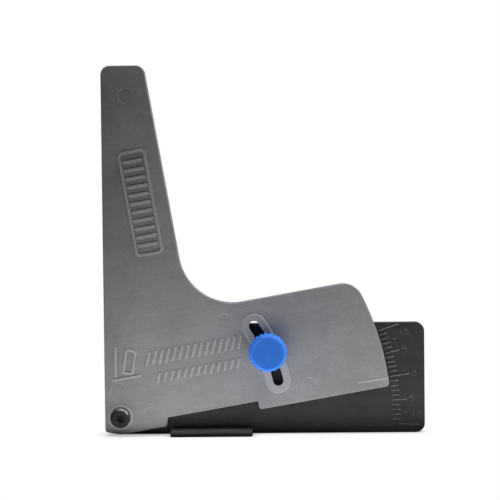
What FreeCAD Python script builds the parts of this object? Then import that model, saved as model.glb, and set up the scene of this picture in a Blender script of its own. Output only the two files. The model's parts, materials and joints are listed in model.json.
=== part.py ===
"""Camber gauge for model cars: a scale plate that stands on the ground and an L-shaped arm that tilts on it.

The arm's upright edge is laid against a wheel, its index line then reads the tilt in degrees on the plate's
raised scale, and a thumb knob in an arc-shaped slot locks it.

Everything is drawn in gauge coordinates, in millimetres: u to the right and v up, both from the pivot axis, and
y backwards from the plate's front face.  save() moves each piece to the part's own frame, whose origin is on the
ground under the middle of the whole gauge, with +Z up and the user on the -Y side.
"""

import FreeCAD, Part
import math
import os

Vector = FreeCAD.Vector
PIVOT = Vector(0, 0, 0)
DEPTH = Vector(0, 1, 0)

# ---- driving dimensions: millimetres and degrees ------------------------------------------------------------

PLATE_THICK = 3.2            # both mouldings are the same thickness
PLATE_GAP = 0.3              # between the back of the arm and the front of the plate
PLATE_RIGHT = 114.5
PLATE_TOP = 34.7
GROUND = -6.9                # the ground lies this far below the pivot axis
PLATE_CORNER = 3.4
PLATE_HEEL = 4.6             # radius of the plate's lower left corner, under the pivot
PLATE_LEAN = 12.0            # the plate's left edge is cut back by more than the arm's full tilt
PLATE_LEFT_REACH = 5.1       # distance of that cut-back edge from the pivot axis
PLATE_EDGE_ROUND = 0.4

FOOT_LEFT = 18.95
FOOT_RIGHT = 49.65
FOOT_HEIGHT = 2.45
FOOT_REACH = 7.6             # how far the foot stands out of each face of the plate
FOOT_CORNER = 0.9
FOOT_EDGE_ROUND = 0.4

TILT_RANGE = 10              # the arm tilts this far each way
EDGE_SLOPE = 9.85            # slope of the arm's edges, so that its bottom edges lie just off level at full tilt
ARM_LEFT = -5.85             # the upright edge that is laid against the wheel
ARM_TOP = 132.0
ARM_TOP_RIGHT = 10.2         # where the tapered edge would meet the top edge
ARM_HEEL = 6.4               # radius under the pivot, and the pivot's distance from the bottom edge
ARM_RADIUS = 101.6           # the arm's outer end is an arc about the pivot, 4 inches in radius
LIMB_TOP_REACH = 34.65       # distance of the limb's top edge from the pivot axis
ARM_TOP_CORNER = 3.4
ARM_ELBOW = 20.3
ARM_SHOULDER = 7.8
ARM_TOE = 1.4
ARM_HEEL_CORNER = 1.3
ARM_EDGE_ROUND = 0.45

NOTCH_INNER = 17.7           # the notch over the foot: two arcs about the pivot and an edge parallel to the bottom
NOTCH_OUTER = 52.2
NOTCH_ROOF = 3.2
NOTCH_ROOF_CORNER = 0.6
NOTCH_EDGE_CORNER = 1.1

SLOT_RADIUS = 60.96          # 2.4 inches
SLOT_LOW = 12.84
SLOT_HIGH = 33.9
SLOT_WIDTH = 3.9
PAD_WIDTH = 9.2              # raised pad round the slot and round the pivot hole
PAD_RAISE = 0.4
PAD_ROUND = 0.32
BACK_PAD_RAISE = 0.2
CLAMP_ANGLE = 23.8           # the stud in the plate, near the middle of the slot

INDEX_ANGLE = 8.0            # the index line, and the scale's zero
INDEX_START = 90.3
INDEX_WIDTH = 0.5
INDEX_RAISE = 0.25

TICK_INNER = 102.4
TICK_WIDTH = 0.32
TICK_RAISE = 0.22
TICK_LENGTHS = {"degree": 2.9, "five": 5.3, "zero": 7.3, "ten": 7.8}
LAST_TICK_START = 104.6      # the lowest long tick starts further out
FIGURE_RAISE = 0.15
DIGIT_HEIGHT = 2.5
DIGIT_WIDTH = 1.5
DIGIT_STROKE = 0.36
DIGIT_GAP = 0.45
ZERO_RADIUS = 111.6          # where each figure's first digit is centred, from the pivot
FIVE_RADIUS = 109.6
TEN_RADIUS = 110.2
TEN_TURN = 8.1               # degrees from the zero line; the plate's corners leave no room at ten
SIGN_RADIUS = 107.2
SIGN_TURN = 7.4
SIGN_REACH = 0.6             # half a stroke of the plus and the minus
SEAM_U = 48.6                # parting line of the mould, by the foot's right end
SEAM_LOW = -2.6
SEAM_HIGH = 4.7
SEAM_WIDTH = 0.2
SEAM_RAISE = 0.08

EJECTOR_RADIUS = 2.73
EJECTOR_DEPTH = 0.1
EJECTOR_SPOTS = [(3.3, 120.6), (-0.7, 10.4), (11.6, 1.0), (39.7, 35.9), (71.0, 11.7)]

RELIEF_RAISE = 0.35          # raised grip panel and pictogram on the arm
PANEL_LENGTH = 39.6
PANEL_WIDTH = 10.4
PANEL_BORDER = 0.8
PANEL_CORNER = 2.0
PANEL_CENTRE = (8.5, 80.6)
PANEL_RIBS = 11
PANEL_RIB_WIDTH = 1.0
PANEL_RIB_INSET = 1.1
RIB_STROKE = 0.75            # two rows of short leaning ribs: start, end, number and height of each
RIB_LEAN = 0.12              # share of its height by which a rib leans each way
RIB_ROWS = [((10.6, 22.0), (45.2, 28.1), 15, 4.4), ((14.6, 14.9), (44.6, 20.2), 13, 3.0)]
TYRE_WIDTH = 4.2             # pictogram of a leaning wheel
TYRE_HEIGHT = 9.2
TYRE_CORNER = 1.0
TYRE_LEAN = 8.0
TYRE_CENTRE = (3.6, 20.9)
PICTOGRAM_STROKE = 0.7
PICTOGRAM_GROUND = ((-2.6, 14.0), (7.6, 15.8))
PICTOGRAM_UPRIGHT = ((-1.6, 15.6), (-1.6, 26.2))

SCREW_CLEARANCE = 0.075      # running fit of the arm on the pivot screw, on the radius
PIVOT_SHANK = 4.0
PIVOT_HEAD = 7.6
PIVOT_HEAD_HEIGHT = 2.2
PIVOT_LENGTH = 12.0
PIVOT_RECESS = 2.9
PIVOT_RECESS_DEPTH = 1.4
PIVOT_LEAD_IN = 4.0
PIVOT_LEAD_IN_DEPTH = 0.55
PIVOT_HEAD_FLAT = 1.6        # radius of the flat on top of the head
PIVOT_HEAD_EDGE = 0.35       # upright rim under the dome
PIVOT_POINT = 0.4            # chamfer
PIVOT_NUT_FLATS = 7.0
PIVOT_NUT_STEEL = 3.2
PIVOT_NUT_TOTAL = 5.0
PIVOT_BOSS = 5.7             # radius
PIVOT_POCKET_FLOOR = 2.4
NUT_CORNER_START = 0.2       # the corners' chamfer starts this far outside the flats
THREAD_FIT = 0.03            # the nuts' bores are bigger than the shanks by this, on the radius
COLLAR_RADIUS = 3.2
COLLAR_ROUND = 0.45
COLLAR_WALL = 0.5
COLLAR_LIP = 0.4             # the collar is turned in over the nylon ring
COLLAR_MOUTH = 2.3           # radius
RING_CLEARANCE = 0.02

STUD_DIAMETER = 3.5
STUD_CLEARANCE = 0.1         # on the radius, through the plate
STUD_FIT = 0.02              # in the knob, on the radius
STUD_POINT = 0.5             # chamfer
STUD_TIP = 6.3
STUD_HEAD_FLATS = 6.0
STUD_HEAD_THICK = 2.0
CLAMP_NUT_FLATS = 7.94
CLAMP_NUT_THICK = 2.9
CLAMP_BOSS = 6.6
CLAMP_POCKET_FLOOR = 2.6
BOSS_BACK = 5.4              # both bosses end here, behind the plate
POCKET_CLEARANCE = 0.06

WASHER_OUTER = 9.5
WASHER_INNER = 3.7
WASHER_THICK = 0.8
REST_GAP = 0.05              # between the clamped faces of two pieces that move apart

KNOB_RADIUS = 7.15
KNOB_FACE = -11.6
KNOB_HUB_RADIUS = 4.6
KNOB_HUB_HEIGHT = 1.3
KNOB_FLUTES = 24
KNOB_FLUTE_RADIUS = 0.75
KNOB_FLUTE_DEPTH = 0.36
KNOB_BEVEL = 1.1
KNOB_BEVEL_STEEPNESS = 1.2   # depth of the bevel over its width
KNOB_DISH_RADIUS = 5.7
KNOB_DISH_DEPTH = 0.15
KNOB_MARK_LENGTH = 8.6       # two raised lines across the knob's face, with short ribs between them
KNOB_MARK_GAP = 2.9
KNOB_MARK_TURN = 15.8
KNOB_MARK_STROKE = 0.25
KNOB_MARK_RAISE = 0.08
KNOB_MARK_RIBS = 7
KNOB_MARK_RIB_HEIGHT = 1.3

# ---- planes and places that follow from them -----------------------------------------------------------------

ARM_BACK = -PLATE_GAP
ARM_FRONT = ARM_BACK - PLATE_THICK
PAD_FRONT = ARM_FRONT - PAD_RAISE
WASHER_BACK = PAD_FRONT - REST_GAP
WASHER_FRONT = WASHER_BACK - WASHER_THICK
FOOT_BACK = PLATE_THICK + FOOT_REACH
SLOPE = math.tan(math.radians(EDGE_SLOPE))
ORIGIN = Vector((ARM_LEFT + PLATE_RIGHT) / 2, (KNOB_FACE + FOOT_BACK) / 2, GROUND)


# ---- drawing helpers ----------------------------------------------------------------------------------------

def at(u, v, y=0.0):
    """A point in gauge coordinates."""
    return Vector(u, y, v)


def polar(radius, angle, y=0.0):
    """A point at a radius and an angle, in degrees up from the right-hand horizontal, about the pivot."""
    turn = math.radians(angle)
    return at(radius * math.cos(turn), radius * math.sin(turn), y)


def turned(shape, angle, centre=PIVOT):
    """The shape turned anticlockwise as the user sees it."""
    copy = shape.copy()
    copy.rotate(centre, DEPTH, -angle)
    return copy


def moved(shape, u, v, y=0.0):
    copy = shape.copy()
    copy.translate(at(u, v, y))
    return copy


def cylinder(radius, front, back, centre=PIVOT):
    """A round bar along the depth, from its front plane to its back plane."""
    return Part.makeCylinder(radius, back - front, at(centre.x, centre.z, front), DEPTH)


def tube(outer, inner, front, back, centre=PIVOT):
    return cylinder(outer, front, back, centre).cut(cylinder(inner, front - 1, back + 1, centre))


def block(left, right, low, high, front, back):
    return Part.makeBox(right - left, back - front, high - low, at(left, low, front))


def prism(corners, front, back):
    """An extruded outline of (u, v, radius) corners, each rounded by its radius."""
    count = len(corners)
    starts = []
    ends = []
    arcs = []
    for i, (u, v, radius) in enumerate(corners):
        corner = at(u, v, front)
        to_last = (at(*corners[i - 1][:2], front) - corner).normalize()
        to_next = (at(*corners[(i + 1) % count][:2], front) - corner).normalize()
        half = to_last.getAngle(to_next) / 2
        reach = radius / math.tan(half)
        starts.append(corner + to_last * reach)
        ends.append(corner + to_next * reach)
        if radius > 0:
            bisector = (to_last + to_next).normalize()
            middle = corner + bisector * (radius / math.sin(half) - radius)
            arcs.append(Part.Arc(starts[i], middle, ends[i]).toShape())
        else:
            arcs.append(None)
    edges = []
    for i in range(count):
        if arcs[i]:
            edges.append(arcs[i])
        if (starts[(i + 1) % count] - ends[i]).Length > 1e-6:
            edges.append(Part.makeLine(ends[i], starts[(i + 1) % count]))
    outline = Part.Wire(Part.__sortEdges__(edges))
    return Part.Face(outline).extrude(at(0, 0, back - front))


def hexagon(flats, front, back, centre=PIVOT):
    reach = flats / math.sqrt(3)
    corners = [(reach * math.cos(math.radians(60 * i)), reach * math.sin(math.radians(60 * i)), 0) for i in range(6)]
    return moved(prism(corners, front, back), centre.x, centre.z)


def bar(start, end, width, front, back):
    """A straight stroke with round ends."""
    along = end - start
    length = along.Length
    body = block(0, length, -width / 2, width / 2, front, back)
    body = body.fuse(cylinder(width / 2, front, back))
    body = body.fuse(cylinder(width / 2, front, back, at(length, 0)))
    angle = math.degrees(math.atan2(along.z, along.x))
    return moved(turned(body, angle), start.x, start.z)


def arc_band(radius, low, high, width, front, back):
    """A band about the pivot with round ends, as wide as the slot or its pad."""
    ring = tube(radius + width / 2, radius - width / 2, front, back)
    reach = 3 * radius
    wedge_points = [PIVOT, polar(reach, low), polar(reach, (low + high) / 2), polar(reach, high), PIVOT]
    wedge = Part.Face(Part.makePolygon([p + at(0, 0, front) for p in wedge_points])).extrude(at(0, 0, back - front))
    band = ring.common(wedge)
    for angle in (low, high):
        band = band.fuse(cylinder(width / 2, front, back, polar(radius, angle)))
    return band.removeSplitter()


def corner_edge(shape, point):
    """The edge along the depth whose middle is nearest to a point of the outline."""
    def distance(edge):
        middle = edge.CenterOfMass
        return math.hypot(middle.x - point.x, middle.z - point.z)

    along_depth = []
    for edge in shape.Edges:
        ends = [vertex.Point for vertex in edge.Vertexes]
        if len(ends) == 2 and abs((ends[1] - ends[0]).normalize().y) > 0.99:
            along_depth.append(edge)
    return min(along_depth, key=distance)


def round_corner(shape, point, radius):
    return shape.makeFillet(radius, [corner_edge(shape, point)])


def edges_on_plane(shape, y):
    """The outline edges that lie in one plane across the depth."""
    return [edge for edge in shape.Edges if all(abs(vertex.Point.y - y) < 1e-6 for vertex in edge.Vertexes)
            and abs(edge.CenterOfMass.y - y) < 1e-6]


def round_face_edges(shape, y, radius):
    return shape.makeFillet(radius, edges_on_plane(shape, y))


def save(shape, node):
    solid = shape.removeSplitter()
    solid.translate(ORIGIN * -1)
    if not solid.isValid() or len(solid.Solids) != 1:
        print("CHECK", node, "valid", solid.isValid(), "solids", len(solid.Solids))
    solid.Solids[0].exportStep("parts/" + node + ".step")
    box = solid.optimalBoundingBox()
    print(f"{node:16s} volume {solid.Volume:9.1f}  x {box.XMin:7.2f} {box.XMax:7.2f}"
          f"  y {box.YMin:7.2f} {box.YMax:7.2f}  z {box.ZMin:7.2f} {box.ZMax:7.2f}")


CLAMP = polar(SLOT_RADIUS, CLAMP_ANGLE)


# ---- raised figures for the scale ---------------------------------------------------------------------------

def rounded_frame(width, height, stroke, corner, front, back):
    """A rounded rectangular outline of one stroke, centred on the pivot axis."""
    def sheet(half_width, half_height, radius, near, far):
        return prism([(-half_width, -half_height, radius), (half_width, -half_height, radius),
                      (half_width, half_height, radius), (-half_width, half_height, radius)], near, far)

    outer = sheet(width / 2, height / 2, corner, front, back)
    inner_corner = max(corner - stroke, stroke / 2)
    return outer.cut(sheet(width / 2 - stroke, height / 2 - stroke, inner_corner, front - 1, back + 1))


def figure_zero(front, back):
    return [rounded_frame(DIGIT_WIDTH, DIGIT_HEIGHT, DIGIT_STROKE, DIGIT_WIDTH * 0.49, front, back)]


def figure_one(front, back):
    high = (DIGIT_HEIGHT - DIGIT_STROKE) / 2
    flag = at(-DIGIT_WIDTH / 4, high - DIGIT_WIDTH / 3)
    return [bar(at(0, -high), at(0, high), DIGIT_STROKE, front, back),
            bar(at(0, high), flag, DIGIT_STROKE, front, back)]


def figure_five(front, back):
    high = (DIGIT_HEIGHT - DIGIT_STROKE) / 2
    half = (DIGIT_WIDTH - DIGIT_STROKE) / 2
    radius = half * 1.35
    bowl_centre = radius - high
    bowl = tube(radius + DIGIT_STROKE / 2, radius - DIGIT_STROKE / 2, front, back)
    bowl = bowl.cut(block(-DIGIT_WIDTH, -radius / 3, -radius / 2, DIGIT_WIDTH, front - 1, back + 1))
    return [bar(at(-half, high), at(half, high), DIGIT_STROKE, front, back),
            bar(at(-half, high), at(-half, 0), DIGIT_STROKE, front, back),
            bar(at(-half, 0), at(-radius / 3, bowl_centre + radius), DIGIT_STROKE, front, back),
            moved(bowl, 0, bowl_centre)]


def figure_minus(front, back):
    return [bar(at(-SIGN_REACH, 0), at(SIGN_REACH, 0), DIGIT_STROKE, front, back)]


def figure_plus(front, back):
    return figure_minus(front, back) + [bar(at(0, -SIGN_REACH), at(0, SIGN_REACH), DIGIT_STROKE, front, back)]


FIGURES = {"0": figure_zero, "1": figure_one, "5": figure_five, "-": figure_minus, "+": figure_plus}


def lettered(text, radius, turn):
    """Figures in a row along the radius, the first one centred at the given radius, turned from the zero line."""
    pieces = []
    for i, character in enumerate(text):
        shift = radius + i * (DIGIT_WIDTH + DIGIT_GAP)
        for piece in FIGURES[character](-FIGURE_RAISE, PLATE_THICK / 2):
            pieces.append(turned(moved(piece, shift, 0), INDEX_ANGLE + turn))
    return pieces


# ---- scale plate --------------------------------------------------------------------------------------------

def plate_left(v):
    """The u of the plate's cut-back left edge at a height."""
    lean = math.radians(PLATE_LEAN)
    return (v * math.sin(lean) - PLATE_LEFT_REACH) / math.cos(lean)


def scale_marks():
    """Ticks every degree, longer at five and ten, with their figures; the signs say which way the arm tilts."""
    front = -TICK_RAISE
    back = PLATE_THICK / 2
    marks = []
    for degree in range(-TILT_RANGE, TILT_RANGE + 1):
        start = TICK_INNER
        length = TICK_LENGTHS["degree"]
        if degree == 0:
            length = TICK_LENGTHS["zero"]
        elif abs(degree) == 5:
            length = TICK_LENGTHS["five"]
        elif abs(degree) == TILT_RANGE:
            length = TICK_LENGTHS["ten"]
        if degree == -TILT_RANGE:
            start = LAST_TICK_START
        angle = INDEX_ANGLE + degree
        marks.append(bar(polar(start, angle), polar(start + length, angle), TICK_WIDTH, front, back))
    marks += lettered("0", ZERO_RADIUS, 0)
    for side, sign in ((1, "-"), (-1, "+")):
        marks += lettered("5", FIVE_RADIUS, 5 * side)
        marks += lettered("10", TEN_RADIUS, TEN_TURN * side)
        marks += lettered(sign, SIGN_RADIUS, SIGN_TURN * side)
    return marks


def make_scale_plate():
    corners = [(plate_left(GROUND), GROUND, PLATE_HEEL), (PLATE_RIGHT, GROUND, PLATE_CORNER),
               (PLATE_RIGHT, PLATE_TOP, PLATE_CORNER), (plate_left(PLATE_TOP), PLATE_TOP, PLATE_CORNER)]
    plate = prism(corners, 0, PLATE_THICK)
    plate = round_face_edges(plate, 0, PLATE_EDGE_ROUND)
    plate = round_face_edges(plate, PLATE_THICK, PLATE_EDGE_ROUND)

    foot = block(FOOT_LEFT, FOOT_RIGHT, GROUND, GROUND + FOOT_HEIGHT, -FOOT_REACH, FOOT_BACK)
    upright = [edge for edge in foot.Edges if abs(edge.Vertexes[0].Z - edge.Vertexes[-1].Z) > FOOT_HEIGHT / 2]
    foot = foot.makeFillet(FOOT_CORNER, upright)
    top = [edge for edge in foot.Edges if abs(edge.BoundBox.ZMin - GROUND - FOOT_HEIGHT) < 1e-6]
    foot = foot.makeFillet(FOOT_EDGE_ROUND, top)

    pivot_boss = cylinder(PIVOT_BOSS, PLATE_THICK / 2, BOSS_BACK)
    clamp_boss = cylinder(CLAMP_BOSS, PLATE_THICK / 2, BOSS_BACK, CLAMP)
    pivot_boss = round_face_edges(pivot_boss, BOSS_BACK, PLATE_EDGE_ROUND)
    clamp_boss = round_face_edges(clamp_boss, BOSS_BACK, PLATE_EDGE_ROUND)
    seam = bar(at(SEAM_U, SEAM_LOW), at(SEAM_U, SEAM_HIGH), SEAM_WIDTH, -SEAM_RAISE, PLATE_THICK / 2)
    plate = plate.multiFuse([foot, pivot_boss, clamp_boss, seam] + scale_marks())

    pockets = [hexagon(PIVOT_NUT_FLATS + POCKET_CLEARANCE, PIVOT_POCKET_FLOOR, BOSS_BACK + 1),
               hexagon(CLAMP_NUT_FLATS + POCKET_CLEARANCE, CLAMP_POCKET_FLOOR, BOSS_BACK + 1, CLAMP),
               cylinder(PIVOT_SHANK / 2 + SCREW_CLEARANCE, -1, BOSS_BACK),
               cylinder(STUD_DIAMETER / 2 + STUD_CLEARANCE, -1, BOSS_BACK, CLAMP)]
    return plate.cut(pockets[0].multiFuse(pockets[1:]))


# ---- gauge arm ----------------------------------------------------------------------------------------------

def bottom_edge(u, reach=ARM_HEEL):
    """The v of the arm's bottom edge, or of an edge parallel to it, reach below the pivot."""
    return u * SLOPE - reach / math.cos(math.radians(EDGE_SLOPE))


def arm_outline():
    """The L-shaped blank: tapered upright, round elbow, limb that ends in an arc about the pivot."""
    taper_foot = ARM_TOP_RIGHT + ARM_TOP * SLOPE
    limb_top = LIMB_TOP_REACH / math.cos(math.radians(EDGE_SLOPE))
    elbow_v = (limb_top + SLOPE * taper_foot) / (1 + SLOPE ** 2)
    elbow_u = taper_foot - SLOPE * elbow_v
    beyond = ARM_RADIUS * 1.1
    corners = [(ARM_LEFT, bottom_edge(-ARM_LEFT), ARM_HEEL_CORNER), (0, bottom_edge(0), ARM_HEEL),
               (beyond, bottom_edge(beyond), 0), (beyond, limb_top + beyond * SLOPE, 0),
               (elbow_u, elbow_v, ARM_ELBOW), (ARM_TOP_RIGHT, ARM_TOP, ARM_TOP_CORNER),
               (ARM_LEFT, ARM_TOP, ARM_TOP_CORNER)]
    blank = prism(corners, ARM_FRONT, ARM_BACK)
    blank = blank.common(cylinder(ARM_RADIUS, ARM_FRONT, ARM_BACK).fuse(
        block(ARM_LEFT - 1, ARM_RADIUS / 2, 0, ARM_TOP + 1, ARM_FRONT, ARM_BACK)))
    blank = blank.removeSplitter()
    toe_angle = EDGE_SLOPE - math.degrees(math.asin(ARM_HEEL / ARM_RADIUS))
    shoulder_angle = EDGE_SLOPE + math.degrees(math.asin(LIMB_TOP_REACH / ARM_RADIUS))
    blank = round_corner(blank, polar(ARM_RADIUS, toe_angle), ARM_TOE)
    return round_corner(blank, polar(ARM_RADIUS, shoulder_angle), ARM_SHOULDER)


def foot_notch():
    """The space cut out of the arm's bottom edge so that it passes over the foot at full tilt."""
    ring = tube(NOTCH_OUTER, NOTCH_INNER, ARM_FRONT - 1, ARM_BACK + 1)
    beyond = NOTCH_OUTER * 1.1
    deep = NOTCH_ROOF + NOTCH_OUTER / 2
    below_roof = [(0, bottom_edge(0, deep), 0), (beyond, bottom_edge(beyond, deep), 0),
                  (beyond, bottom_edge(beyond, NOTCH_ROOF), 0), (0, bottom_edge(0, NOTCH_ROOF), 0)]
    return ring.common(prism(below_roof, ARM_FRONT - 1, ARM_BACK + 1))


def notch_corner(radius, reach):
    """Where an arc about the pivot crosses an edge parallel to the arm's bottom edge."""
    return polar(radius, EDGE_SLOPE - math.degrees(math.asin(reach / radius)))


def grip_panel(front, back):
    """A raised rounded frame with ribs across it, in line with the tapered edge of the upright."""
    pieces = [rounded_frame(PANEL_WIDTH, PANEL_LENGTH, PANEL_BORDER, PANEL_CORNER, front, back)]
    inner_half = PANEL_LENGTH / 2 - PANEL_BORDER
    pitch = 2 * inner_half / (PANEL_RIBS + 1)
    reach = PANEL_WIDTH / 2 - PANEL_BORDER - PANEL_RIB_INSET
    for i in range(PANEL_RIBS):
        height = (i + 1) * pitch - inner_half
        pieces.append(bar(at(-reach, height), at(reach, height), PANEL_RIB_WIDTH, front, back))
    return [moved(turned(piece, EDGE_SLOPE), *PANEL_CENTRE) for piece in pieces]


def rib_row(start, end, count, height, front, back):
    """Short ribs along a sloping line, each leaning a little forward."""
    ribs = []
    for i in range(count):
        middle = start + (end - start) * (i / (count - 1))
        half = at(height * RIB_LEAN, height / 2)
        ribs.append(bar(middle - half, middle + half, RIB_STROKE, front, back))
    return ribs


def wheel_pictogram(front, back):
    """A leaning wheel on the ground beside an upright line: what the gauge is for."""
    tyre = rounded_frame(TYRE_WIDTH, TYRE_HEIGHT, PICTOGRAM_STROKE, TYRE_CORNER, front, back)
    lines = [bar(at(*start), at(*end), PICTOGRAM_STROKE, front, back)
             for start, end in (PICTOGRAM_GROUND, PICTOGRAM_UPRIGHT)]
    return [moved(turned(tyre, -TYRE_LEAN), *TYRE_CENTRE)] + lines


def make_gauge_arm():
    arm = arm_outline().cut(foot_notch()).removeSplitter()
    for radius in (NOTCH_INNER, NOTCH_OUTER):
        arm = round_corner(arm, notch_corner(radius, NOTCH_ROOF), NOTCH_ROOF_CORNER)
        arm = round_corner(arm, notch_corner(radius, ARM_HEEL), NOTCH_EDGE_CORNER)
    arm = round_face_edges(arm, ARM_FRONT, ARM_EDGE_ROUND)
    arm = round_face_edges(arm, ARM_BACK, ARM_EDGE_ROUND / 2)

    middle = (ARM_FRONT + ARM_BACK) / 2
    front_pads = [arc_band(SLOT_RADIUS, SLOT_LOW, SLOT_HIGH, PAD_WIDTH, PAD_FRONT, middle),
                  cylinder(PAD_WIDTH / 2, PAD_FRONT, middle)]
    front_pads = [round_face_edges(pad, PAD_FRONT, PAD_ROUND) for pad in front_pads]
    back_pads = [arc_band(SLOT_RADIUS, SLOT_LOW, SLOT_HIGH, PAD_WIDTH, middle, ARM_BACK + BACK_PAD_RAISE),
                 cylinder(PAD_WIDTH / 2, middle, ARM_BACK + BACK_PAD_RAISE)]
    index = bar(polar(INDEX_START, INDEX_ANGLE), polar(ARM_RADIUS - INDEX_WIDTH, INDEX_ANGLE), INDEX_WIDTH,
                ARM_FRONT - INDEX_RAISE, middle)
    relief_front = ARM_FRONT - RELIEF_RAISE
    relief = grip_panel(relief_front, middle) + wheel_pictogram(relief_front, middle)
    for start, end, count, height in RIB_ROWS:
        relief += rib_row(at(*start), at(*end), count, height, relief_front, middle)
    arm = arm.multiFuse(front_pads + back_pads + [index] + relief)

    hollows = [arc_band(SLOT_RADIUS, SLOT_LOW, SLOT_HIGH, SLOT_WIDTH, PAD_FRONT - 1, 1),
               cylinder(PIVOT_SHANK / 2 + SCREW_CLEARANCE, PAD_FRONT - 1, 1)]
    hollows += [cylinder(EJECTOR_RADIUS, ARM_FRONT - 1, ARM_FRONT + EJECTOR_DEPTH, at(*spot))
                for spot in EJECTOR_SPOTS]
    return arm.cut(hollows[0].multiFuse(hollows[1:]))


# ---- pivot fasteners ----------------------------------------------------------------------------------------

def six_lobe(width, front, back):
    """A six-lobed driver recess: a round core with a small round lobe every sixty degrees."""
    lobe = width * 0.14
    core = cylinder(width * 0.4, front, back)
    lobes = [cylinder(lobe, front, back, polar(width / 2 - lobe, 60 * i + 30)) for i in range(6)]
    return core.multiFuse(lobes).removeSplitter()


def make_pivot_screw():
    """Button-head machine screw: the head is a shallow dome with a flat top, a lead-in cone and the recess."""
    seat = PAD_FRONT - REST_GAP
    top = seat - PIVOT_HEAD_HEIGHT
    radius = PIVOT_HEAD / 2
    flat = PIVOT_HEAD_FLAT
    rim = seat - PIVOT_HEAD_EDGE
    shoulder = at(radius * 0.83, 0, seat - PIVOT_HEAD_HEIGHT * 0.68)
    dome = Part.Arc(at(radius, 0, rim), shoulder, at(flat, 0, top)).toShape()
    corners = [(flat, top), (0, top), (0, seat), (radius, seat), (radius, rim)]
    sides = Part.makePolygon([at(u, 0, y) for u, y in corners])
    profile = Part.Wire(Part.__sortEdges__([dome] + sides.Edges))
    head = Part.Face(profile).revolve(PIVOT, DEPTH, 360)
    shank = cylinder(PIVOT_SHANK / 2, rim, seat + PIVOT_LENGTH)
    shank = shank.makeChamfer(PIVOT_POINT, edges_on_plane(shank, seat + PIVOT_LENGTH))
    lead_in = Part.makeCone(PIVOT_LEAD_IN / 2, PIVOT_RECESS / 2 * 0.8, PIVOT_LEAD_IN_DEPTH, at(0, 0, top), DEPTH)
    recess = six_lobe(PIVOT_RECESS, top - 1, top + PIVOT_RECESS_DEPTH)
    return head.fuse(shank).cut(lead_in.fuse(recess))


def nut_blank(flats, front, back, centre=PIVOT):
    """A nut's outside, with its corners turned down at 45 degrees at the back."""
    end = flats / 2 + NUT_CORNER_START
    cone = Part.makeCone(end + back - front, end, back - front, at(centre.x, centre.z, front), DEPTH)
    return hexagon(flats, front, back, centre).common(cone)


def make_pivot_locknut():
    """Hexagonal steel part of the locknut, with the turned-in collar that grips the nylon ring."""
    back = PIVOT_POCKET_FLOOR + PIVOT_NUT_STEEL
    end = PIVOT_POCKET_FLOOR + PIVOT_NUT_TOTAL
    collar = cylinder(COLLAR_RADIUS, PIVOT_POCKET_FLOOR, end)
    collar = collar.makeFillet(COLLAR_ROUND, edges_on_plane(collar, end))
    nut = nut_blank(PIVOT_NUT_FLATS, PIVOT_POCKET_FLOOR, back).fuse(collar)
    bore = cylinder(PIVOT_SHANK / 2 + THREAD_FIT, 0, end + 1)
    seat = cylinder(COLLAR_RADIUS - COLLAR_WALL, back, end - COLLAR_LIP)
    return nut.cut(bore.multiFuse([seat, cylinder(COLLAR_MOUTH, back, end + 1)]))


def make_locknut_ring():
    """Nylon ring inside the locknut's collar."""
    front = PIVOT_POCKET_FLOOR + PIVOT_NUT_STEEL
    back = PIVOT_POCKET_FLOOR + PIVOT_NUT_TOTAL - COLLAR_LIP - RING_CLEARANCE
    return tube(COLLAR_RADIUS - COLLAR_WALL - RING_CLEARANCE, PIVOT_SHANK / 2 + RING_CLEARANCE, front, back)


# ---- clamp --------------------------------------------------------------------------------------------------

def knob_head(front, back):
    """Fluted disc with a bevelled front edge."""
    head = cylinder(KNOB_RADIUS, front, back)
    flutes = [cylinder(KNOB_FLUTE_RADIUS, front - 1, back + 1,
                       polar(KNOB_RADIUS + KNOB_FLUTE_RADIUS - KNOB_FLUTE_DEPTH, 360 * i / KNOB_FLUTES))
              for i in range(KNOB_FLUTES)]
    head = head.cut(flutes[0].multiFuse(flutes[1:]))
    bevel_depth = 2 * KNOB_BEVEL * KNOB_BEVEL_STEEPNESS
    front_cone = Part.makeCone(KNOB_RADIUS - KNOB_BEVEL, KNOB_RADIUS + KNOB_BEVEL, bevel_depth, at(0, 0, front),
                               DEPTH)
    rest = cylinder(KNOB_RADIUS + 1, front + bevel_depth, back)
    return head.common(front_cone.fuse(rest))


def knob_mark(floor):
    """Two raised lines across the dished face and a row of short ribs between them."""
    front = floor - KNOB_MARK_RAISE
    back = floor + KNOB_DISH_DEPTH
    half = KNOB_MARK_LENGTH / 2
    lines = []
    for level in (-KNOB_MARK_GAP / 2, KNOB_MARK_GAP / 2):
        lines.append(bar(at(-half, level), at(half, level), KNOB_MARK_STROKE, front, back))
    pitch = KNOB_MARK_LENGTH / (KNOB_MARK_RIBS + 1)
    for i in range(KNOB_MARK_RIBS):
        shift = (i + 1) * pitch - half
        low = at(shift, -KNOB_MARK_RIB_HEIGHT / 2)
        high = at(shift, KNOB_MARK_RIB_HEIGHT / 2)
        lines.append(bar(low, high, KNOB_MARK_STROKE, front, back))
    return [turned(line, KNOB_MARK_TURN) for line in lines]


def make_clamp_knob():
    hub_back = WASHER_FRONT
    head_back = hub_back - KNOB_HUB_HEIGHT
    knob = knob_head(KNOB_FACE, head_back)
    knob = knob.fuse(cylinder(KNOB_HUB_RADIUS, head_back - 1, hub_back))
    knob = knob.cut(cylinder(KNOB_DISH_RADIUS, KNOB_FACE - 1, KNOB_FACE + KNOB_DISH_DEPTH))
    knob = knob.multiFuse(knob_mark(KNOB_FACE + KNOB_DISH_DEPTH))
    knob = knob.cut(cylinder(STUD_DIAMETER / 2 + STUD_FIT, head_back - 1, hub_back + 1))
    pocket_front = head_back - STUD_HEAD_THICK - STUD_FIT
    knob = knob.cut(hexagon(STUD_HEAD_FLATS + 2 * STUD_FIT, pocket_front, head_back + STUD_FIT))
    return moved(knob, CLAMP.x, CLAMP.z)


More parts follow.
